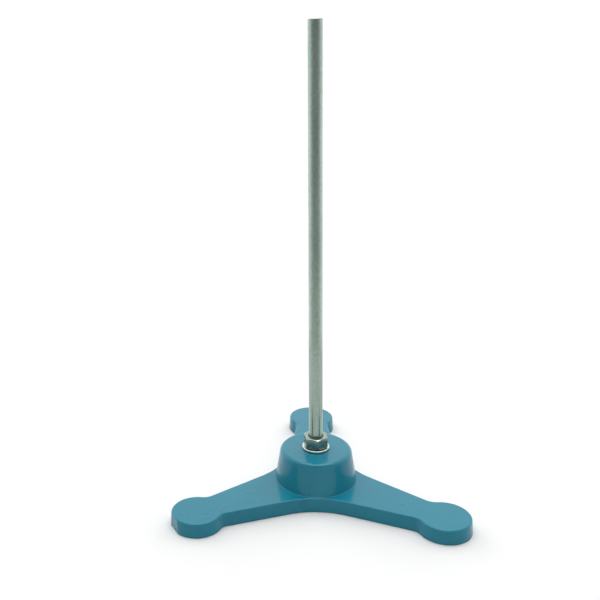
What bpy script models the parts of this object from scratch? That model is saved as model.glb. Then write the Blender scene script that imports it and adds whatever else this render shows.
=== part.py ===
"""A retort stand: a cast tripod base and a through-bolted support rod. Metres, +Z up.

The origin is on the rod's axis, in the plane of the bench. The back leg points along +Y.
"""

import math

import bmesh
import bpy
from mathutils import Matrix, Vector

MM = 0.001

# Base casting: a flat plate of three tapered legs with round pads, and a tapered boss.
LEG_REACH = 98.7 * MM  # rod axis to the centre of a pad
LEG_AXES = (90.0, 210.0, 330.0)  # degrees from +X
PLATE_THICKNESS = 10.5 * MM
PAD_RADIUS = 18.0 * MM
LEG_HALF_WIDTH_HUB = 25.8 * MM  # of the straight edge, carried in to the rod axis
LEG_HALF_WIDTH_PAD = 9.8 * MM  # of the same edge, at the pad's centre
WEB_FILLET = 58.0 * MM  # hollow curve between two legs
NECK_FILLET = 9.0 * MM  # hollow curve where a leg meets its pad
DRAFT = 0.6 * MM  # how far the foot of a side stands out past its top
TOP_ROUND = 1.1 * MM
FOOT_ROUND = 0.4 * MM

BOSS_RADIUS_FOOT = 29.8 * MM
BOSS_RADIUS_TOP = 26.3 * MM
BOSS_TOP = 34.3 * MM
BOSS_ROUND = 2.8 * MM
BOSS_FILLET = 0.5 * MM

BORE_RADIUS = 5.5 * MM
BORE_CHAMFER = 0.6 * MM
RECESS_RADIUS = 15.0 * MM  # room below the boss for the lower nut and a socket
RECESS_DEPTH = 19.0 * MM
GATE_FLAT_WIDTH = 12.8 * MM  # ground flat on the end of one foot, where the metal ran in
GATE_FLAT_LEG = 210.0

# Rod and M10 x 1.5 fasteners.
GAP = 0.25 * MM  # left between pieces that touch
ROD_RADIUS = 5.0 * MM
ROD_LENGTH = 340.0 * MM
ROD_FOOT = 3.0 * MM  # height of the rod's lower end above the bench
ROD_EDGE_BREAK = 0.25 * MM
PITCH = 1.5 * MM
THREAD_CREST = 4.95 * MM
THREAD_ROOT = 4.14 * MM
THREAD_CREST_FLAT = 0.19 * MM
THREAD_ROOT_FLAT = 0.37 * MM
THREAD_CLEARANCE = 0.15 * MM
THREAD_STEPS = 18  # straight stretches in one turn
NUT_HEIGHT = 8.2 * MM
NUT_ACROSS_FLATS = 16.0 * MM
NUT_COUNTERSINK = 5.7 * MM
NUT_CHAMFER_ANGLE = 30.0
UPPER_NUT_TURN = -82.0  # direction of one of its corners
LOWER_NUT_TURN = 20.0
WASHER_OUTER = 10.0 * MM
WASHER_INNER = 5.25 * MM
WASHER_THICKNESS = 1.6 * MM
WASHER_ROUND = 0.25 * MM
SPRING_OUTER = 9.05 * MM
SPRING_INNER = 5.2 * MM
SPRING_THICKNESS = 2.2 * MM
SPRING_SLIT = 1.2 * MM
SPRING_SLIT_SLANT = 25.0

# Heights of the two stacks, worked out from the boss.
UPPER_WASHER_FOOT = BOSS_TOP + GAP
UPPER_NUT_FOOT = UPPER_WASHER_FOOT + WASHER_THICKNESS + GAP
UPPER_NUT_TOP = UPPER_NUT_FOOT + NUT_HEIGHT
LOWER_WASHER_FOOT = RECESS_DEPTH - GAP - WASHER_THICKNESS
SPRING_FOOT = LOWER_WASHER_FOOT - GAP - SPRING_THICKNESS
LOWER_NUT_FOOT = SPRING_FOOT - GAP - NUT_HEIGHT
THREAD_TOP = UPPER_NUT_TOP - 1.3 * MM

ROUND_STEPS = 64
SMALL_ROUND_STEPS = 48  # for the rod, the holes and the washers
SHARP_ANGLE = math.radians(35.0)
CUTTER_REACH = 1.0 * MM  # how far a cutter runs past the face it opens


def clear_scene():
    for old in list(bpy.data.objects):
        bpy.data.objects.remove(old, do_unlink=True)


def make_material(name, colour, roughness, metallic):
    material = bpy.data.materials.new(name)
    material.use_nodes = True
    shader = material.node_tree.nodes["Principled BSDF"]
    shader.inputs["Base Color"].default_value = (*colour, 1.0)
    shader.inputs["Roughness"].default_value = roughness
    shader.inputs["Metallic"].default_value = metallic
    return material


def make_object(name, bm, material=None, height=0.0, parent=None):
    """An object whose origin is on the rod's axis at this height. Without a material it is a helper."""
    bmesh.ops.recalc_face_normals(bm, faces=bm.faces)
    bmesh.ops.translate(bm, verts=bm.verts, vec=(0.0, 0.0, -height))
    mesh = bpy.data.meshes.new(name)
    bm.to_mesh(mesh)
    bm.free()
    mesh.shade_smooth()
    mesh.set_sharp_from_angle(angle=SHARP_ANGLE)
    obj = bpy.data.objects.new(name, mesh)
    bpy.context.scene.collection.objects.link(obj)
    obj.location = (0.0, 0.0, height)
    if parent:
        obj.parent = parent
        obj.location.z -= parent.matrix_world.translation.z
    if material:
        mesh.materials.append(material)
    else:
        obj.hide_render = True
        obj.display_type = "WIRE"
    bpy.context.view_layer.update()
    return obj


def add_boolean(obj, operation, other):
    modifier = obj.modifiers.new(other.name, "BOOLEAN")
    modifier.operation = operation
    modifier.solver = "EXACT"
    modifier.object = other


def polar(radius, angle):
    return Vector((radius * math.cos(angle), radius * math.sin(angle)))


def arc(centre, radius, start, end, steps):
    """Points along an arc, both ends included. Angles are in radians."""
    angles = [start + (end - start) * i / steps for i in range(steps + 1)]
    return [centre + polar(radius, a) for a in angles]


def turned(profile, steps=ROUND_STEPS, closed=False):
    """A profile of (radius, height) points turned about Z. A ring's profile is closed."""
    bm = bmesh.new()
    verts = [bm.verts.new((radius, 0.0, height)) for radius, height in profile]
    edges = [bm.edges.new(pair) for pair in zip(verts, verts[1:])]
    if closed:
        edges.append(bm.edges.new((verts[-1], verts[0])))
    bmesh.ops.spin(
        bm,
        geom=verts + edges,
        axis=(0.0, 0.0, 1.0),
        cent=(0.0, 0.0, 0.0),
        angle=math.tau,
        steps=steps,
        use_merge=True,
    )
    bmesh.ops.remove_doubles(bm, verts=bm.verts, dist=1e-7)
    return bm


def stacked(rings):
    """A solid through rings of points, one ring above another, all with the same count."""
    bm = bmesh.new()
    loops = [[bm.verts.new(point) for point in ring] for ring in rings]
    for low, high in zip(loops, loops[1:]):
        for i, corner in enumerate(low):
            j = (i + 1) % len(low)
            bm.faces.new((corner, low[j], high[j], high[i]))
    bm.faces.new(reversed(loops[0]))
    bm.faces.new(loops[-1])
    return bm


def leg_sector(grow):
    """One leg's third of the plate's outline, the leg along +X, moved outwards by grow.

    It runs anticlockwise from the middle of one web to just short of the next.
    """
    slope = math.atan2(LEG_HALF_WIDTH_HUB - LEG_HALF_WIDTH_PAD, LEG_REACH)
    across = math.pi / 2 - slope  # direction that the straight edge faces
    edge = LEG_HALF_WIDTH_HUB * math.cos(slope) + grow  # its distance from the rod axis
    third = math.pi / 3

    web = WEB_FILLET - grow
    web_centre = polar((edge + web) / math.sin(third + slope), third)
    web_half = arc(web_centre, web, third + math.pi, across + math.pi, 8)

    pad = PAD_RADIUS + grow
    neck = NECK_FILLET - grow
    height = edge + neck - LEG_REACH * math.cos(across)
    back = math.sqrt((pad + neck) ** 2 - height**2)
    pad_centre = Vector((LEG_REACH, 0.0))
    along = polar(1.0, across - math.pi / 2)
    neck_centre = pad_centre + polar(height, across) - along * back
    to_pad = math.atan2(*(pad_centre - neck_centre).yx)
    neck_half = arc(neck_centre, neck, across - math.pi, to_pad, 5)
    pad_half = arc(pad_centre, pad, to_pad + math.pi, 0.0, 14)

    upper = web_half + neck_half + pad_half[1:]
    lower = [Vector((p.x, -p.y)) for p in upper]
    return lower + upper[-2:0:-1]


def plate_ring(height, grow):
    """The whole outline at one height. Each web's middle belongs to one sector only."""
    points = []
    for direction in LEG_AXES:
        turn = Matrix.Rotation(math.radians(direction), 2)
        points += [(turn @ p).to_3d() for p in leg_sector(grow)]
    for point in points:
        point.z = height
    return points


def plate_mesh():
    side_top = PLATE_THICKNESS - TOP_ROUND
    draft_there = DRAFT * TOP_ROUND / PLATE_THICKNESS
    rings = [plate_ring(0.0, DRAFT - FOOT_ROUND), plate_ring(FOOT_ROUND, DRAFT)]
    for degrees in (0.0, 30.0, 60.0, 90.0):
        a = math.radians(degrees)
        inward = TOP_ROUND * (1.0 - math.cos(a))
        rings.append(plate_ring(side_top + TOP_ROUND * math.sin(a), draft_there - inward))
    return stacked(rings)


def boss_mesh():
    """The boss runs down inside the plate, so that the two join as one casting."""
    buried = PLATE_THICKNESS - 2.0 * MM
    lean = math.atan2(BOSS_RADIUS_FOOT - BOSS_RADIUS_TOP, BOSS_TOP - PLATE_THICKNESS)
    profile = [
        (0.0, buried),
        (BOSS_RADIUS_FOOT + BOSS_FILLET, buried),
        (BOSS_RADIUS_FOOT + BOSS_FILLET, PLATE_THICKNESS + 0.05 * MM),
        (BOSS_RADIUS_FOOT + 0.3 * BOSS_FILLET, PLATE_THICKNESS + 0.3 * BOSS_FILLET),
        (BOSS_RADIUS_FOOT, PLATE_THICKNESS + BOSS_FILLET),
    ]
    rounding = Vector((BOSS_RADIUS_TOP - BOSS_ROUND * math.cos(lean), BOSS_TOP - BOSS_ROUND))
    profile += [tuple(p) for p in arc(rounding, BOSS_ROUND, lean, math.pi / 2, 5)]
    profile.append((0.0, BOSS_TOP))
    return turned(profile)


def hub_cutter_mesh():
    """The bore for the rod, the recess under it and the small chamfers at their mouths."""
    mouth = RECESS_RADIUS + 1.0 * MM
    chamfered = BORE_RADIUS + BORE_CHAMFER
    profile = [
        (0.0, BOSS_TOP + CUTTER_REACH),
        (chamfered + CUTTER_REACH, BOSS_TOP + CUTTER_REACH),
        (BORE_RADIUS, BOSS_TOP - BORE_CHAMFER),
        (BORE_RADIUS, RECESS_DEPTH),
        (RECESS_RADIUS, RECESS_DEPTH),
        (RECESS_RADIUS, 1.0 * MM),
        (mouth + CUTTER_REACH, -CUTTER_REACH),
        (0.0, -CUTTER_REACH),
    ]
    return turned(profile, SMALL_ROUND_STEPS)


def box_mesh(size, placement):
    bm = bmesh.new()
    bmesh.ops.create_cube(bm, size=1.0, matrix=placement @ Matrix.Diagonal((*size, 1.0)))
    return bm


def gate_cutter_mesh():
    """A block that takes a thin slice off the end of one foot."""
    widest = PAD_RADIUS + DRAFT
    flat = LEG_REACH + math.sqrt(widest**2 - (GATE_FLAT_WIDTH / 2) ** 2)
    side = 20.0 * MM
    turn = Matrix.Rotation(math.radians(GATE_FLAT_LEG), 4, "Z")
    middle = Matrix.Translation((flat + side / 2, 0.0, PLATE_THICKNESS / 2))
    return box_mesh((side, 2 * side, side), turn @ middle)


def make_base(enamel):
    base = make_object("base_casting", plate_mesh(), enamel)
    add_boolean(base, "UNION", make_object("boss_helper", boss_mesh()))
    add_boolean(base, "DIFFERENCE", make_object("hub_cutter", hub_cutter_mesh()))
    add_boolean(base, "DIFFERENCE", make_object("gate_cutter", gate_cutter_mesh()))
    return base


def helix_mesh(low, high, clearance=0.0):
    """A solid right-hand thread from a whole pitch below low to one above high.

    Every thread passes through the same point of +X, so a rod and its nuts are in phase.
    """
    first = math.floor(low / PITCH) - 1
    turns = math.ceil(high / PITCH) + 1 - first
    root, crest = THREAD_ROOT + clearance, THREAD_CREST + clearance
    flank = (PITCH - THREAD_CREST_FLAT - THREAD_ROOT_FLAT) / 2
    tooth = [
        (root, 0.0),
        (root, THREAD_ROOT_FLAT),
        (crest, THREAD_ROOT_FLAT + flank),
        (crest, THREAD_ROOT_FLAT + flank + THREAD_CREST_FLAT),
    ]
    last = turns * THREAD_STEPS

    bm = bmesh.new()

    def vertex(step, radius, rise):
        place = polar(radius, math.tau * step / THREAD_STEPS)
        return bm.verts.new((place.x, place.y, (first + step / THREAD_STEPS) * PITCH + rise))

    lanes = [[vertex(step, *tooth[0]) for step in range(last + THREAD_STEPS + 1)]]
    lanes += [[vertex(step, *corner) for step in range(last + 1)] for corner in tooth[1:]]
    lanes.append(lanes[0][THREAD_STEPS:])
    for lower, upper in zip(lanes, lanes[1:]):
        for step in range(last):
            bm.faces.new((lower[step], lower[step + 1], upper[step + 1], upper[step]))
    for end, height in ((0, first * PITCH), (last, (first + turns + 1) * PITCH)):
        centre = bm.verts.new((0.0, 0.0, height))
        rim = lanes[0][end : end + THREAD_STEPS + 1]
        rim += [lane[end] for lane in reversed(lanes[1:-1])]
        for i, corner in enumerate(rim):
            bm.faces.new((corner, rim[(i + 1) % len(rim)], centre))
    return bm


def make_rod(steel, parent):
    """A plain rod, flat at the top, with an M10 thread cut on its lower end."""
    top = ROD_FOOT + ROD_LENGTH
    shank_foot = UPPER_NUT_TOP - 0.45 * MM
    shank = [
        (0.0, THREAD_TOP - 1.0 * MM),
        (THREAD_ROOT - 0.05 * MM, THREAD_TOP - 1.0 * MM),
        (THREAD_ROOT - 0.05 * MM, THREAD_TOP - 0.2 * MM),
        (ROD_RADIUS, shank_foot),
        (ROD_RADIUS, top - ROD_EDGE_BREAK),
        (ROD_RADIUS - ROD_EDGE_BREAK, top),
        (0.0, top),
    ]
    chamfered = THREAD_ROOT - 0.25 * MM
    blank = [
        (0.0, ROD_FOOT),
        (chamfered, ROD_FOOT),
        (THREAD_CREST + CUTTER_REACH, ROD_FOOT + THREAD_CREST + CUTTER_REACH - chamfered),
        (THREAD_CREST + CUTTER_REACH, THREAD_TOP),
        (0.0, THREAD_TOP),
    ]
    thread = make_object("rod_thread_helper", helix_mesh(ROD_FOOT, THREAD_TOP))
    add_boolean(thread, "INTERSECT", make_object("rod_end_helper", turned(blank, SMALL_ROUND_STEPS)))
    rod = make_object("support_rod", turned(shank, SMALL_ROUND_STEPS), steel, ROD_FOOT, parent)
    add_boolean(rod, "UNION", thread)
    return rod


def nut_blank_mesh(foot, turn):
    """A hexagon bar, longer than the nut at both ends."""
    bm = bmesh.new()
    corner = NUT_ACROSS_FLATS / math.sqrt(3)
    place = Matrix.Translation((0.0, 0.0, foot + NUT_HEIGHT / 2))
    place @= Matrix.Rotation(math.radians(turn) - math.pi / 2, 4, "Z")
    bmesh.ops.create_cone(
        bm,
        cap_ends=True,
        segments=6,
        radius1=corner,
        radius2=corner,
        depth=NUT_HEIGHT + 2 * CUTTER_REACH,
        matrix=place,
    )
    return bm


def nut_envelope_mesh(foot):
    """The nut's two end faces, and the flat cones that round off its corners."""
    face = NUT_ACROSS_FLATS / 2 - 0.2 * MM
    reach = NUT_ACROSS_FLATS / math.sqrt(3) + CUTTER_REACH
    fall = (reach - face) * math.tan(math.radians(NUT_CHAMFER_ANGLE))
    top = foot + NUT_HEIGHT
    profile = [(0.0, foot), (face, foot), (reach, foot + fall)]
    profile += [(reach, top - fall), (face, top), (0.0, top)]
    return turned(profile)


def nut_countersink_mesh(foot):
    """Both countersinks, joined by a waist that stays inside the threaded hole."""
    top = foot + NUT_HEIGHT
    waist = THREAD_ROOT
    depth = NUT_COUNTERSINK - waist
    wide = NUT_COUNTERSINK + CUTTER_REACH
    profile = [
        (0.0, top + CUTTER_REACH),
        (wide, top + CUTTER_REACH),
        (waist, top - depth),
        (waist, foot + depth),
        (wide, foot - CUTTER_REACH),
        (0.0, foot - CUTTER_REACH),
    ]
    return turned(profile, SMALL_ROUND_STEPS)


def make_nut(name, foot, turn, zinc, parent):
    """A chamfered hexagon nut with a real thread in its hole."""
    nut = make_object(name, nut_blank_mesh(foot, turn), zinc, foot, parent)
    thread = helix_mesh(foot, foot + NUT_HEIGHT, THREAD_CLEARANCE)
    add_boolean(nut, "INTERSECT", make_object(name + "_envelope", nut_envelope_mesh(foot)))
    add_boolean(nut, "DIFFERENCE", make_object(name + "_thread_cutter", thread))
    sinks = make_object(name + "_countersinks", nut_countersink_mesh(foot))
    add_boolean(nut, "DIFFERENCE", sinks)
    return nut


def ring_profile(inner, outer, foot, thickness, rounding):
    top = foot + thickness
    return [
        (inner, top - rounding),
        (inner + rounding, top),
        (outer - rounding, top),
        (outer, top - rounding),
        (outer, foot + rounding),
        (outer - rounding, foot),
        (inner + rounding, foot),
        (inner, foot + rounding),
    ]


def make_washer(name, foot, zinc, parent):
    profile = ring_profile(WASHER_INNER, WASHER_OUTER, foot, WASHER_THICKNESS, WASHER_ROUND)
    ring = turned(profile, SMALL_ROUND_STEPS, closed=True)
    return make_object(name, ring, zinc, foot, parent)


def make_spring_washer(steel, parent):
    """A split washer, pressed flat by the nut, with a slanting slit."""
    profile = ring_profile(
        SPRING_INNER, SPRING_OUTER, SPRING_FOOT, SPRING_THICKNESS, WASHER_ROUND
    )
    ring = turned(profile, SMALL_ROUND_STEPS, closed=True)
    washer = make_object("spring_washer", ring, steel, SPRING_FOOT, parent)
    middle = SPRING_FOOT + SPRING_THICKNESS / 2
    place = Matrix.Translation((0.0, -(SPRING_INNER + SPRING_OUTER) / 2, middle))
    place @= Matrix.Rotation(math.radians(SPRING_SLIT_SLANT), 4, "Y")
    size = (SPRING_SLIT, SPRING_OUTER, 3 * SPRING_THICKNESS)
    add_boolean(washer, "DIFFERENCE", make_object("slit_cutter", box_mesh(size, place)))
    return washer


def main():
    clear_scene()
    enamel = make_material("base_enamel", (0.10, 0.31, 0.40), 0.25, 0.0)
    rod_steel = make_material("rod_steel", (0.42, 0.45, 0.43), 0.32, 1.0)
    zinc = make_material("zinc_plate", (0.66, 0.67, 0.64), 0.3, 1.0)
    spring_steel = make_material("spring_steel", (0.20, 0.20, 0.21), 0.4, 1.0)

    base = make_base(enamel)
    upper_washer = make_washer("upper_washer", UPPER_WASHER_FOOT, zinc, base)
    rod = make_rod(rod_steel, upper_washer)
    make_nut("upper_nut", UPPER_NUT_FOOT, UPPER_NUT_TURN, zinc, rod)
    lower_washer = make_washer("lower_washer", LOWER_WASHER_FOOT, zinc, base)
    spring_washer = make_spring_washer(spring_steel, lower_washer)
    make_nut("lower_nut", LOWER_NUT_FOOT, LOWER_NUT_TURN, zinc, spring_washer)


main()
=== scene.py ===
"""The looks of the retort stand: finely rounded pieces with their finishes, a studio and a camera.

Every CAD node is replaced by a smoother piece of the same size, built around the node's own box.
Metres, +Z up, the rod on the Z axis and the bench at height 0.
"""

import math

import bmesh
import bpy
from mathutils import Matrix, Vector


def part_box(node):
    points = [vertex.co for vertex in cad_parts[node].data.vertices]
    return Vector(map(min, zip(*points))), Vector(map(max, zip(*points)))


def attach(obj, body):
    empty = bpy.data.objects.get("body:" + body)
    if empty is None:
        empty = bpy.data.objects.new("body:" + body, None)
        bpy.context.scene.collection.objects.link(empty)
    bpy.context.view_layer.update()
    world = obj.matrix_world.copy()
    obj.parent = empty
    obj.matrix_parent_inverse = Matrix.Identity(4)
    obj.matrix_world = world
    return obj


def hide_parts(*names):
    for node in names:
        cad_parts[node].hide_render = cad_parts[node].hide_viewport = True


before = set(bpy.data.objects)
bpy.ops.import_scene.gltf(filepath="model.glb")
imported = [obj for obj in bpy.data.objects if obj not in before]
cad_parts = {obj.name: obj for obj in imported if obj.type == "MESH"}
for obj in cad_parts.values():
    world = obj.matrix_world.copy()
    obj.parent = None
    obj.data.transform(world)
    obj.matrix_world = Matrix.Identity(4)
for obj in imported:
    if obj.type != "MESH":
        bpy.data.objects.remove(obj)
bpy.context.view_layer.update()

MM = 0.001

# The casting's outline, as its designer would dimension it. Its overall size comes from the node's
# box in model.glb.
LEG_AXES = (90.0, 210.0, 330.0)
PLATE_THICKNESS = 10.5 * MM
PAD_RADIUS = 18.0 * MM
LEG_HALF_WIDTH_HUB = 25.8 * MM
LEG_HALF_WIDTH_PAD = 9.8 * MM
WEB_FILLET = 58.0 * MM
NECK_FILLET = 9.0 * MM
DRAFT = 0.6 * MM
TOP_ROUND = 1.1 * MM
FOOT_ROUND = 0.4 * MM
BOSS_RADIUS_FOOT = 29.8 * MM
BOSS_RADIUS_TOP = 26.3 * MM
BOSS_ROUND = 2.8 * MM
BOSS_FILLET = 0.5 * MM
BOSS_ROOT = 2.0 * MM  # how far the boss reaches down into the plate before they are joined
BORE_RADIUS = 5.5 * MM
BORE_CHAMFER = 0.6 * MM
RECESS_RADIUS = 15.0 * MM
RECESS_CHAMFER = 1.0 * MM
RECESS_GAP = 0.25 * MM
GATE_FLAT_WIDTH = 12.8 * MM
GATE_FLAT_LEG = 210.0
GATE_CUTTER_SIZE = 20.0 * MM

# Fasteners.
PITCH = 1.5 * MM
THREAD_CREST = 4.95 * MM
THREAD_ROOT = 4.14 * MM
THREAD_CREST_FLAT = 0.19 * MM
THREAD_ROOT_FLAT = 0.37 * MM
THREAD_CLEARANCE = 0.15 * MM
THREAD_STEPS = 40
THREAD_END_RADIUS = THREAD_ROOT - 0.25 * MM
RUNOUT_RADIUS = THREAD_ROOT - 0.05 * MM
RUNOUT_DROP = 0.2 * MM
RUNOUT_ROOT = 1.0 * MM
ROD_RADIUS = 5.0 * MM
ROD_EDGE_BREAK = 0.25 * MM
SHANK_IN_NUT = 0.45 * MM
THREAD_END_IN_NUT = 1.3 * MM
NUT_ACROSS_FLATS = 16.0 * MM
NUT_FACE_RADIUS = NUT_ACROSS_FLATS / 2 - 0.2 * MM
NUT_COUNTERSINK = 5.7 * MM
NUT_CHAMFER_ANGLE = 30.0
NUT_CORNER_ROUND = 0.4 * MM
NUT_EDGE_ROUND = 0.4 * MM
UPPER_NUT_TURN = -82.0
LOWER_NUT_TURN = 20.0
WASHER_INNER = 5.25 * MM
WASHER_ROUND = 0.5 * MM
SPRING_INNER = 5.2 * MM
SPRING_ROUND = 0.2 * MM
SPRING_SLIT = 1.2 * MM
SPRING_SLIT_SLANT = 25.0
CUTTER_REACH = 1.0 * MM

# How finely curves are divided, and the angles in degrees past which edges stay sharp.
ROUND_STEPS = 128
WEB_STEPS, NECK_STEPS, PAD_STEPS = 20, 12, 40
FILLET_STEPS, BOSS_ROUND_STEPS, CORNER_STEPS, CHAMFER_STEPS = 5, 10, 4, 3
QUARTER_TURN = tuple(math.radians(degrees) for degrees in range(0, 91, 15))
CASTING_SHARP, ROD_SHARP, NUT_SHARP, WASHER_SHARP = 17.0, 28.0, 20.0, 35.0

# Camera: where it stands, where it looks and its lens. Shift keeps the picture's own framing.
CAMERA_PLACE = (-12.3 * MM, -585.8 * MM, 352.3 * MM)
CAMERA_YAW = -8.058
CAMERA_PITCH = 15.546
CAMERA_ROLL = -2.592
STAND_TURN = 1.049  # how far the stand is turned towards the camera, about the rod
CAMERA_LENS = 51.8
CAMERA_SENSOR = 36.0
CAMERA_SHIFT = (1 / 5, -1 / 12)

# Studio: a floor, soft light from above and both sides, and a tent that only reflections show.
FLOOR_FLAT, FLOOR_END, FLOOR_RISE = 10.0, 60.0, 8.0
FLOOR_GAP = 0.2 * MM
FLOOR_RINGS, FLOOR_STEPS = 16, 64
FLOOR_COLOUR = (0.71, 0.71, 0.71)
AMBIENT = 0.30
MIRRORED = 1.3
OVERHEAD, SIDE = 2.2, 1.4
LIGHT_WIDTH = 60.0
SIDE_HEIGHT, SIDE_BEHIND = 25.0, 38.0
TENT_RADIUS, TENT_HEIGHT, TENT_STEPS = 0.30, 0.60, 96
TENT_FRONT, TENT_BACK, TENT_LOW = 0.36, 1.36, 0.38


# ---------------------------------------------------------------- shapes


def polar(radius, angle):
    return Vector((radius * math.cos(angle), radius * math.sin(angle)))


def arc(centre, radius, start, end, steps):
    """Points along an arc, both ends included. Angles are in radians."""
    angles = [start + (end - start) * i / steps for i in range(steps + 1)]
    return [centre + polar(radius, a) for a in angles]


def pairs(points):
    """Vectors as plain tuples, as a turned profile takes them."""
    return [tuple(p) for p in points]


def make_piece(name, bm, body=None, material=None, node=None):
    """A smooth piece that rides on a body and stands for a node, or a helper if it has no body."""
    bmesh.ops.recalc_face_normals(bm, faces=bm.faces)
    mesh = bpy.data.meshes.new(name)
    bm.to_mesh(mesh)
    bm.free()
    obj = bpy.data.objects.new(name, mesh)
    bpy.context.scene.collection.objects.link(obj)
    if body:
        mesh.materials.append(material)
        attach(obj, body)
        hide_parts(node)
    return obj


def apply_modifiers(obj, helpers=()):
    """Bakes the modifiers into the mesh, and removes the helpers that they used."""
    bpy.context.view_layer.update()
    graph = bpy.context.evaluated_depsgraph_get()
    mesh = bpy.data.meshes.new_from_object(obj.evaluated_get(graph))
    old = obj.data
    obj.modifiers.clear()
    obj.data = mesh
    bpy.data.meshes.remove(old)
    for helper in helpers:
        bpy.data.objects.remove(helper, do_unlink=True)


def combine(obj, *steps):
    """Boolean steps, each an operation and a bmesh, applied one after another."""
    helpers = []
    for operation, bm in steps:
        helper = make_piece(f"{obj.name}_helper_{len(helpers)}", bm)
        modifier = obj.modifiers.new("boolean", "BOOLEAN")
        modifier.operation = operation
        modifier.solver = "EXACT"
        modifier.object = helper
        helpers.append(helper)
    apply_modifiers(obj, helpers)


def finish_edges(obj, angle):
    """Shades smooth, with flat faces kept flat and the edges past this angle kept sharp."""
    obj.data.shade_smooth()
    obj.data.set_sharp_from_angle(angle=math.radians(angle))
    normals = obj.modifiers.new("normals", "WEIGHTED_NORMAL")
    normals.keep_sharp = True


def turned(profile, steps=ROUND_STEPS, closed=False):
    """A profile of (radius, height) points turned about Z. A ring's profile is closed."""
    bm = bmesh.new()
    verts = [bm.verts.new((radius, 0.0, height)) for radius, height in profile]
    edges = [bm.edges.new(pair) for pair in zip(verts, verts[1:])]
    if closed:
        edges.append(bm.edges.new((verts[-1], verts[0])))
    bmesh.ops.spin(
        bm,
        geom=verts + edges,
        axis=(0.0, 0.0, 1.0),
        cent=(0.0, 0.0, 0.0),
        angle=math.tau,
        steps=steps,
        use_merge=True,
    )
    bmesh.ops.remove_doubles(bm, verts=bm.verts, dist=1e-7)
    return bm


def stacked(rings):
    """A solid through rings of points, one ring above another, all with the same count."""
    bm = bmesh.new()
    loops = [[bm.verts.new(point) for point in ring] for ring in rings]
    for low, high in zip(loops, loops[1:]):
        for i, corner in enumerate(low):
            j = (i + 1) % len(low)
            bm.faces.new((corner, low[j], high[j], high[i]))
    bm.faces.new(reversed(loops[0]))
    bm.faces.new(loops[-1])
    return bm


def helix(low, high, clearance=0.0):
    """A solid right-hand thread from a whole pitch below low to one above high."""
    first = math.floor(low / PITCH) - 1
    turns = math.ceil(high / PITCH) + 1 - first
    root, crest = THREAD_ROOT + clearance, THREAD_CREST + clearance
    flank = (PITCH - THREAD_CREST_FLAT - THREAD_ROOT_FLAT) / 2
    tooth = [
        (root, 0.0),
        (root, THREAD_ROOT_FLAT),
        (crest, THREAD_ROOT_FLAT + flank),
        (crest, THREAD_ROOT_FLAT + flank + THREAD_CREST_FLAT),
    ]
    last = turns * THREAD_STEPS
    bm = bmesh.new()

    def vertex(step, radius, rise):
        place = polar(radius, math.tau * step / THREAD_STEPS)
        return bm.verts.new((place.x, place.y, (first + step / THREAD_STEPS) * PITCH + rise))

    lanes = [[vertex(step, *tooth[0]) for step in range(last + THREAD_STEPS + 1)]]
    lanes += [[vertex(step, *corner) for step in range(last + 1)] for corner in tooth[1:]]
    lanes.append(lanes[0][THREAD_STEPS:])
    for lower, upper in zip(lanes, lanes[1:]):
        for step in range(last):
            bm.faces.new((lower[step], lower[step + 1], upper[step + 1], upper[step]))
    for end, height in ((0, first * PITCH), (last, (first + turns + 1) * PITCH)):
        centre = bm.verts.new((0.0, 0.0, height))
        rim = lanes[0][end : end + THREAD_STEPS + 1]
        rim += [lane[end] for lane in reversed(lanes[1:-1])]
        for i, corner in enumerate(rim):
            bm.faces.new((corner, rim[(i + 1) % len(rim)], centre))
    return bm


# ---------------------------------------------------------------- the casting

base_low, base_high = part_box("base_casting")
BOSS_TOP = base_high.z
LEG_REACH = base_high.y - PAD_RADIUS - DRAFT
RECESS_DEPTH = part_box("lower_washer")[1].z + RECESS_GAP


def leg_sector(grow):
    """One leg's third of the plate's outline, the leg along +X, moved outwards by grow."""
    slope = math.atan2(LEG_HALF_WIDTH_HUB - LEG_HALF_WIDTH_PAD, LEG_REACH)
    across = math.pi / 2 - slope
    edge = LEG_HALF_WIDTH_HUB * math.cos(slope) + grow
    third = math.pi / 3

    web = WEB_FILLET - grow
    web_centre = polar((edge + web) / math.sin(third + slope), third)
    web_half = arc(web_centre, web, third + math.pi, across + math.pi, WEB_STEPS)

    pad = PAD_RADIUS + grow
    neck = NECK_FILLET - grow
    height = edge + neck - LEG_REACH * math.cos(across)
    back = math.sqrt((pad + neck) ** 2 - height**2)
    pad_centre = Vector((LEG_REACH, 0.0))
    along = polar(1.0, across - math.pi / 2)
    neck_centre = pad_centre + polar(height, across) - along * back
    to_pad = math.atan2(*(pad_centre - neck_centre).yx)
    neck_half = arc(neck_centre, neck, across - math.pi, to_pad, NECK_STEPS)
    pad_half = arc(pad_centre, pad, to_pad + math.pi, 0.0, PAD_STEPS)

    upper = web_half + neck_half + pad_half[1:]
    lower = [Vector((p.x, -p.y)) for p in upper]
    return lower + upper[-2:0:-1]


def plate_ring(height, grow):
    """The whole outline at one height."""
    points = []
    for direction in LEG_AXES:
        turn = Matrix.Rotation(math.radians(direction), 2)
        points += [(turn @ p).to_3d() for p in leg_sector(grow)]
    for point in points:
        point.z = height
    return points


def plate():
    """The legs and pads, with rounded edges and sides that lean in towards the top."""
    side_top = PLATE_THICKNESS - TOP_ROUND
    draft_there = DRAFT * TOP_ROUND / PLATE_THICKNESS
    rings = []
    for a in QUARTER_TURN:
        inward = FOOT_ROUND * (1.0 - math.sin(a))
        rings.append(plate_ring(FOOT_ROUND * (1.0 - math.cos(a)), DRAFT - inward))
    for a in QUARTER_TURN:
        inward = TOP_ROUND * (1.0 - math.cos(a))
        rings.append(plate_ring(side_top + TOP_ROUND * math.sin(a), draft_there - inward))
    return stacked(rings)


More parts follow.
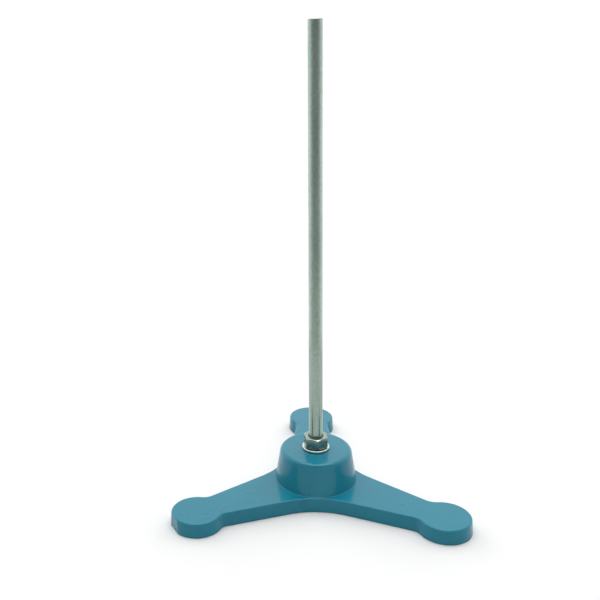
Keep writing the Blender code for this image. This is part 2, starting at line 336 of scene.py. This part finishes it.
def boss():
    """The tapered boss with its rounded rim and the small fillet round its foot."""
    buried = PLATE_THICKNESS - BOSS_ROOT
    lean = math.atan2(BOSS_RADIUS_FOOT - BOSS_RADIUS_TOP, BOSS_TOP - PLATE_THICKNESS)
    foot = Vector((BOSS_RADIUS_FOOT + BOSS_FILLET, PLATE_THICKNESS + BOSS_FILLET))
    rounding = Vector((BOSS_RADIUS_TOP - BOSS_ROUND * math.cos(lean), BOSS_TOP - BOSS_ROUND))
    profile = [(0.0, buried), (foot.x, buried)]
    fillet_end = 1.46 * math.pi
    profile += pairs(arc(foot, BOSS_FILLET, fillet_end, math.pi + lean, FILLET_STEPS))
    profile += pairs(arc(rounding, BOSS_ROUND, lean, math.pi / 2, BOSS_ROUND_STEPS))
    profile.append((0.0, BOSS_TOP))
    return turned(profile)


def hub_cutter():
    """The bore and the recess under it, each with a chamfered mouth."""
    wide = BORE_RADIUS + BORE_CHAMFER + CUTTER_REACH
    mouth = RECESS_RADIUS + RECESS_CHAMFER + CUTTER_REACH
    profile = [
        (0.0, BOSS_TOP + CUTTER_REACH),
        (wide, BOSS_TOP + CUTTER_REACH),
        (BORE_RADIUS, BOSS_TOP - BORE_CHAMFER),
        (BORE_RADIUS, RECESS_DEPTH),
        (RECESS_RADIUS, RECESS_DEPTH),
        (RECESS_RADIUS, RECESS_CHAMFER),
        (mouth, -CUTTER_REACH),
        (0.0, -CUTTER_REACH),
    ]
    return turned(profile)


def box_mesh(size, placement):
    bm = bmesh.new()
    bmesh.ops.create_cube(bm, size=1.0, matrix=placement @ Matrix.Diagonal((*size, 1.0)))
    return bm


def gate_cutter():
    """A block that leaves the flat on the end of one foot."""
    flat = LEG_REACH + math.sqrt((PAD_RADIUS + DRAFT) ** 2 - (GATE_FLAT_WIDTH / 2) ** 2)
    side = GATE_CUTTER_SIZE
    turn = Matrix.Rotation(math.radians(GATE_FLAT_LEG), 4, "Z")
    middle = Matrix.Translation((flat + side / 2, 0.0, PLATE_THICKNESS / 2))
    return box_mesh((side, 2 * side, side), turn @ middle)


def make_casting(material):
    casting = make_piece("casting", plate(), "base", material, "base_casting")
    combine(
        casting,
        ("UNION", boss()),
        ("DIFFERENCE", hub_cutter()),
        ("DIFFERENCE", gate_cutter()),
    )
    finish_edges(casting, CASTING_SHARP)


# ---------------------------------------------------------------- the rod and the fasteners


def make_rod(material):
    """The plain rod with the thread on its lower end, which runs up into the upper nut."""
    low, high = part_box("support_rod")
    nut_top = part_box("upper_nut")[1].z
    thread_top = nut_top - THREAD_END_IN_NUT
    edge = Vector((ROD_RADIUS - ROD_EDGE_BREAK, high.z - ROD_EDGE_BREAK))
    shank = [
        (0.0, thread_top - RUNOUT_ROOT),
        (RUNOUT_RADIUS, thread_top - RUNOUT_ROOT),
        (RUNOUT_RADIUS, thread_top - RUNOUT_DROP),
        (ROD_RADIUS, nut_top - SHANK_IN_NUT),
    ]
    shank += pairs(arc(edge, ROD_EDGE_BREAK, 0.0, math.pi / 2, CORNER_STEPS))
    shank.append((0.0, high.z))
    reach = THREAD_CREST + CUTTER_REACH
    blank = [
        (0.0, low.z),
        (THREAD_END_RADIUS, low.z),
        (reach, low.z + reach - THREAD_END_RADIUS),
        (reach, thread_top),
        (0.0, thread_top),
    ]
    thread = make_piece("rod_thread_helper", helix(low.z, thread_top))
    combine(thread, ("INTERSECT", turned(blank)))
    rod = make_piece("rod", turned(shank), "rod", material, "support_rod")
    threaded = bmesh.new()
    threaded.from_mesh(thread.data)
    bpy.data.objects.remove(thread, do_unlink=True)
    combine(rod, ("UNION", threaded))
    finish_edges(rod, ROD_SHARP)


def hexagon_bar(turn, low, high):
    """A hexagon bar with its corners a little rounded, one of them in the direction of turn."""
    out = (NUT_ACROSS_FLATS / 2 - NUT_CORNER_ROUND) / math.cos(math.pi / 6)
    outline = []
    for corner in range(6):
        a = math.radians(turn + 60.0 * corner)
        start, end = a - math.pi / 6, a + math.pi / 6
        outline += arc(polar(out, a), NUT_CORNER_ROUND, start, end, CORNER_STEPS)
    return stacked([[(p.x, p.y, height) for p in outline] for height in (low, high)])


def nut_envelope(low, high):
    """The nut's end faces and the flat cones round them, with a soft edge between the two."""
    slope = math.radians(NUT_CHAMFER_ANGLE)
    reach = NUT_ACROSS_FLATS / math.sqrt(3) + CUTTER_REACH
    fall = (reach - NUT_FACE_RADIUS) * math.tan(slope)
    inner = NUT_FACE_RADIUS - NUT_EDGE_ROUND * math.tan(slope / 2)
    foot_centre = Vector((inner, low + NUT_EDGE_ROUND))
    top_centre = Vector((inner, high - NUT_EDGE_ROUND))
    down, up = -math.pi / 2, math.pi / 2
    profile = [(0.0, low)]
    profile += pairs(arc(foot_centre, NUT_EDGE_ROUND, down, slope + down, CHAMFER_STEPS))
    profile += [(reach, low + fall), (reach, high - fall)]
    profile += pairs(arc(top_centre, NUT_EDGE_ROUND, up - slope, up, CHAMFER_STEPS))
    profile.append((0.0, high))
    return turned(profile)


def nut_countersinks(low, high):
    """Both countersinks, joined by a waist that stays inside the threaded hole."""
    depth = NUT_COUNTERSINK - THREAD_ROOT
    wide = NUT_COUNTERSINK + CUTTER_REACH
    profile = [
        (0.0, high + CUTTER_REACH),
        (wide, high + CUTTER_REACH),
        (THREAD_ROOT, high - depth),
        (THREAD_ROOT, low + depth),
        (wide, low - CUTTER_REACH),
        (0.0, low - CUTTER_REACH),
    ]
    return turned(profile)


def make_nut(name, node, body, turn, material):
    """A hexagon nut with chamfered corners, a countersunk hole and a real thread."""
    low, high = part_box(node)[0].z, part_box(node)[1].z
    bar = hexagon_bar(turn, low - CUTTER_REACH, high + CUTTER_REACH)
    nut = make_piece(name, bar, body, material, node)
    combine(
        nut,
        ("INTERSECT", nut_envelope(low, high)),
        ("DIFFERENCE", helix(low, high, THREAD_CLEARANCE)),
        ("DIFFERENCE", nut_countersinks(low, high)),
    )
    finish_edges(nut, NUT_SHARP)


def ring_profile(inner, outer, low, high, rounding):
    """A flat ring's section with all four corners rounded, anticlockwise from the inside top."""
    corners = (
        (inner + rounding, high - rounding, math.pi),
        (outer - rounding, high - rounding, math.pi / 2),
        (outer - rounding, low + rounding, 0.0),
        (inner + rounding, low + rounding, -math.pi / 2),
    )
    points = []
    for radius, height, start in corners:
        end = start - math.pi / 2
        points += pairs(arc(Vector((radius, height)), rounding, start, end, CORNER_STEPS))
    return points


def make_washer(name, node, body, material):
    low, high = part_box(node)
    profile = ring_profile(WASHER_INNER, high.x, low.z, high.z, WASHER_ROUND)
    ring = turned(profile, closed=True)
    washer = make_piece(name, ring, body, material, node)
    finish_edges(washer, WASHER_SHARP)


def make_spring_washer(material):
    low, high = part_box("spring_washer")
    profile = ring_profile(SPRING_INNER, high.x, low.z, high.z, SPRING_ROUND)
    ring = turned(profile, closed=True)
    spring = make_piece(
        "split_washer", ring, "lower_washers", material, "spring_washer"
    )
    place = Matrix.Translation((0.0, -(SPRING_INNER + high.x) / 2, (low.z + high.z) / 2))
    place @= Matrix.Rotation(math.radians(SPRING_SLIT_SLANT), 4, "Y")
    size = (SPRING_SLIT, high.x, 3 * (high.z - low.z))
    combine(spring, ("DIFFERENCE", box_mesh(size, place)))
    finish_edges(spring, WASHER_SHARP)


# ---------------------------------------------------------------- materials


class Graph:
    """A material's node tree with short names for the few nodes that the finishes need."""

    def __init__(self, name):
        self.material = bpy.data.materials.new(name)
        self.material.use_nodes = True
        self.tree = self.material.node_tree
        self.shader = self.tree.nodes["Principled BSDF"]
        self.place = self.node("ShaderNodeTexCoord").outputs["Object"]

    def node(self, kind, **inputs):
        made = self.tree.nodes.new(kind)
        for key, value in inputs.items():
            socket = made.inputs[key.replace("_", " ")]
            if isinstance(value, bpy.types.NodeSocket):
                self.tree.links.new(value, socket)
            else:
                socket.default_value = value
        return made

    def stretched(self, scale, turn=(0.0, 0.0, 0.0)):
        """The object's coordinates turned, and scaled by a different amount along each axis."""
        mapping = self.node("ShaderNodeMapping", Vector=self.place, Scale=scale, Rotation=turn)
        return mapping.outputs[0]

    def noise(self, scale, detail=3.0, vector=None, roughness=0.5):
        made = self.node("ShaderNodeTexNoise", Scale=scale, Detail=detail, Roughness=roughness)
        self.tree.links.new(vector or self.place, made.inputs["Vector"])
        return made.outputs["Fac"]

    def spread(self, value, low, high, to_low=0.0, to_high=1.0):
        """Maps low..high to to_low..to_high, held at the ends."""
        made = self.node("ShaderNodeMapRange", Value=value)
        made.inputs["From Min"].default_value = low
        made.inputs["From Max"].default_value = high
        made.inputs["To Min"].default_value = to_low
        made.inputs["To Max"].default_value = to_high
        return made.outputs["Result"]

    def sum(self, first, second, weight=1.0):
        made = self.node("ShaderNodeMath")
        made.operation = "MULTIPLY_ADD"
        self.tree.links.new(second, made.inputs[0])
        made.inputs[1].default_value = weight
        self.tree.links.new(first, made.inputs[2])
        return made.outputs[0]

    def power(self, value, exponent):
        made = self.node("ShaderNodeMath")
        made.operation = "POWER"
        self.tree.links.new(value, made.inputs[0])
        made.inputs[1].default_value = exponent
        return made.outputs[0]

    def times(self, first, second):
        made = self.node("ShaderNodeMath")
        made.operation = "MULTIPLY"
        self.tree.links.new(first, made.inputs[0])
        self.tree.links.new(second, made.inputs[1])
        return made.outputs[0]

    def mix(self, factor, first, second):
        made = self.node("ShaderNodeMix")
        made.data_type = "RGBA"
        self.tree.links.new(factor, made.inputs[0])
        for socket, value in ((made.inputs[6], first), (made.inputs[7], second)):
            if isinstance(value, bpy.types.NodeSocket):
                self.tree.links.new(value, socket)
            else:
                socket.default_value = (*value, 1.0)
        return made.outputs[2]

    def bump(self, height, distance, strength=1.0):
        made = self.node("ShaderNodeBump", Height=height)
        made.inputs["Distance"].default_value = distance
        made.inputs["Strength"].default_value = strength
        for layer in ("Normal", "Coat Normal"):
            self.tree.links.new(made.outputs[0], self.shader.inputs[layer])

    def use(self, **sockets):
        for key, value in sockets.items():
            socket = self.shader.inputs[key.replace("_", " ")]
            if isinstance(value, bpy.types.NodeSocket):
                self.tree.links.new(value, socket)
            else:
                socket.default_value = value
        return self.material


def enamel():
    """Teal-blue stoving enamel with a glossy skin: soft waves, orange peel and a few nibs."""
    g = Graph("teal_enamel")
    tone = g.spread(g.noise(35.0, 4.0), 0.35, 0.65)
    colour = g.mix(tone, (0.0018, 0.160, 0.230), (0.0026, 0.174, 0.248))
    waves = g.noise(90.0, 2.0)
    peel = g.noise(700.0, 1.0)
    nibs = g.noise(1.0, 0.0, g.stretched((1600.0, 1600.0, 1600.0), (0.5, 0.7, 0.3)))
    nibs = g.spread(nibs, 0.76, 0.84)
    height = g.sum(g.sum(waves, peel, 0.12), nibs, 0.05)
    g.bump(height, 0.12 * MM)
    roughness = g.spread(g.noise(60.0, 3.0), 0.3, 0.7, 0.26, 0.34)
    g.use(Coat_Weight=0.42, Coat_Roughness=0.07)
    return g.use(Base_Color=colour, Roughness=roughness, Specular_IOR_Level=0.14)


def drawn_steel():
    """Cold-drawn steel: fine lines along the rod, cloudy patches and a dull warm-grey colour."""
    g = Graph("drawn_steel")
    lines = g.noise(1.0, 2.0, g.stretched((2600.0, 2600.0, 9.0)))
    cloud = g.noise(1.0, 4.0, g.stretched((160.0, 160.0, 22.0)))
    spots = g.spread(g.noise(1.0, 2.0, g.stretched((620.0, 620.0, 420.0))), 0.3, 0.7, -0.5, 0.5)
    tone = g.sum(g.spread(cloud, 0.3, 0.7), spots, 0.8)
    colour = g.mix(tone, (0.26, 0.335, 0.29), (0.34, 0.42, 0.37))
    roughness = g.sum(g.spread(lines, 0.3, 0.7, 0.17, 0.25), cloud, 0.04)
    g.bump(lines, 0.01 * MM, 0.5)
    return g.use(Base_Color=colour, Roughness=roughness, Metallic=1.0)


def zinc(name, dull, bright):
    """Zinc plate with a faint haze and fine handling marks."""
    g = Graph(name)
    haze = g.noise(420.0, 3.0)
    colour = g.mix(g.spread(haze, 0.35, 0.65), dull, bright)
    marks = g.noise(1.0, 1.0, g.stretched((900.0, 3200.0, 1800.0)))
    roughness = g.sum(g.spread(haze, 0.3, 0.7, 0.16, 0.28), marks, 0.05)
    g.bump(marks, 0.01 * MM, 0.4)
    return g.use(Base_Color=colour, Roughness=roughness, Metallic=1.0)


def spring_steel():
    """Dark, oiled spring steel."""
    g = Graph("spring_steel")
    cloud = g.noise(500.0, 3.0)
    colour = g.mix(g.spread(cloud, 0.35, 0.65), (0.10, 0.10, 0.105), (0.17, 0.17, 0.175))
    roughness = g.spread(cloud, 0.3, 0.7, 0.32, 0.45)
    g.bump(cloud, 0.02 * MM, 0.4)
    return g.use(Base_Color=colour, Roughness=roughness, Metallic=1.0)


# ---------------------------------------------------------------- studio and camera


def make_floor():
    """A pale floor, flat round the stand, that rises gently a long way off and shows no edge."""
    profile = [(0.0, -FLOOR_GAP), (FLOOR_FLAT, -FLOOR_GAP)]
    for i in range(1, FLOOR_RINGS + 1):
        away = (FLOOR_END - FLOOR_FLAT) * i / FLOOR_RINGS
        profile.append((FLOOR_FLAT + away, FLOOR_RISE * (i / FLOOR_RINGS) ** 2))
    floor = make_piece("floor", turned(profile, steps=FLOOR_STEPS))
    floor.data.shade_smooth()
    g = Graph("pale_floor")
    floor.data.materials.append(g.use(Base_Color=(*FLOOR_COLOUR, 1.0), Roughness=0.8))


def make_tent():
    """A round tent that only reflections show: bright behind the stand, dim towards the camera."""
    bm = bmesh.new()
    bmesh.ops.create_cone(
        bm,
        cap_ends=False,
        segments=TENT_STEPS,
        radius1=TENT_RADIUS,
        radius2=TENT_RADIUS,
        depth=TENT_HEIGHT,
    )
    bmesh.ops.translate(bm, verts=bm.verts, vec=(0.0, 0.0, TENT_HEIGHT / 2))
    tent = make_piece("tent", bm)
    tent.visible_camera = False
    tent.visible_diffuse = False
    tent.visible_shadow = False
    g = Graph("tent")
    place = g.node("ShaderNodeSeparateXYZ", Vector=g.place)
    back = g.spread(place.outputs["Y"], -TENT_RADIUS, 0.35 * TENT_RADIUS)
    back.node.interpolation_type = "SMOOTHSTEP"
    wall = g.spread(back, 0.0, 1.0, TENT_FRONT, TENT_BACK)
    low = g.power(g.spread(place.outputs["Z"], 0.0, TENT_RADIUS, 1.0, 0.0), 2.5)
    glow = g.sum(wall, g.times(low, g.spread(back, 0.0, 1.0, TENT_LOW, 0.0)))
    white = (1.0, 1.0, 1.0, 1.0)
    black = (0.0, 0.0, 0.0, 1.0)
    tent.data.materials.append(
        g.use(Base_Color=black, Emission_Color=white, Emission_Strength=glow)
    )


def make_light(name, energy, height, direction):
    """A wide, soft, distant light. Its height and its direction from +X are in degrees."""
    data = bpy.data.lights.new(name, "SUN")
    data.energy = energy
    data.angle = math.radians(LIGHT_WIDTH)
    light = bpy.data.objects.new(name, data)
    bpy.context.scene.collection.objects.link(light)
    light.rotation_euler = (0.0, math.radians(90.0 - height), math.radians(direction))
    return light


def make_studio():
    world = bpy.data.worlds.new("studio")
    bpy.context.scene.world = world
    world.use_nodes = True
    nodes, links = world.node_tree.nodes, world.node_tree.links
    background = nodes["Background"]
    background.inputs["Color"].default_value = (1.0, 1.0, 1.0, 1.0)
    seen = nodes.new("ShaderNodeMath")
    path = nodes.new("ShaderNodeLightPath")
    links.new(path.outputs["Is Camera Ray"], seen.inputs[0])
    links.new(path.outputs["Is Glossy Ray"], seen.inputs[1])
    strength = nodes.new("ShaderNodeMapRange")
    strength.inputs["To Min"].default_value = AMBIENT
    strength.inputs["To Max"].default_value = MIRRORED
    links.new(seen.outputs[0], strength.inputs["Value"])
    links.new(strength.outputs["Result"], background.inputs["Strength"])
    make_light("overhead", OVERHEAD, 90.0, 90.0)
    for name, direction in (("right", SIDE_BEHIND), ("left", 180.0 - SIDE_BEHIND)):
        make_light(name, SIDE, SIDE_HEIGHT, direction).visible_glossy = False
    make_tent()
    scene = bpy.context.scene
    scene.view_settings.view_transform = "Standard"
    scene.view_settings.look = "None"


def make_camera():
    """The camera stands and looks where the stand's own turn about the rod would have put it."""
    data = bpy.data.cameras.new("camera")
    data.sensor_width = CAMERA_SENSOR
    data.lens = CAMERA_LENS
    data.shift_x, data.shift_y = CAMERA_SHIFT
    data.clip_start, data.clip_end = 0.01, 200.0
    camera = bpy.data.objects.new("camera", data)
    bpy.context.scene.collection.objects.link(camera)
    looking = Matrix.Rotation(math.radians(-CAMERA_YAW), 4, "Z")
    looking @= Matrix.Rotation(math.radians(90.0 - CAMERA_PITCH), 4, "X")
    looking @= Matrix.Rotation(math.radians(CAMERA_ROLL), 4, "Z")
    turn = Matrix.Rotation(math.radians(-STAND_TURN), 4, "Z")
    camera.matrix_world = turn @ Matrix.Translation(CAMERA_PLACE) @ looking
    bpy.context.scene.camera = camera


def main():
    make_camera()
    make_casting(enamel())
    make_rod(drawn_steel())
    dull_zinc = zinc("dull_zinc", (0.23, 0.28, 0.25), (0.29, 0.34, 0.31))
    make_nut("hex_nut_upper", "upper_nut", "rod", UPPER_NUT_TURN, dull_zinc)
    make_nut("hex_nut_lower", "lower_nut", "lower_nut", LOWER_NUT_TURN, dull_zinc)
    bright_zinc = zinc("bright_zinc", (0.52, 0.55, 0.51), (0.62, 0.65, 0.60))
    make_washer("flat_washer_upper", "upper_washer", "upper_washer", bright_zinc)
    make_washer("flat_washer_lower", "lower_washer", "lower_washers", bright_zinc)
    make_spring_washer(spring_steel())
    make_floor()
    make_studio()


main()
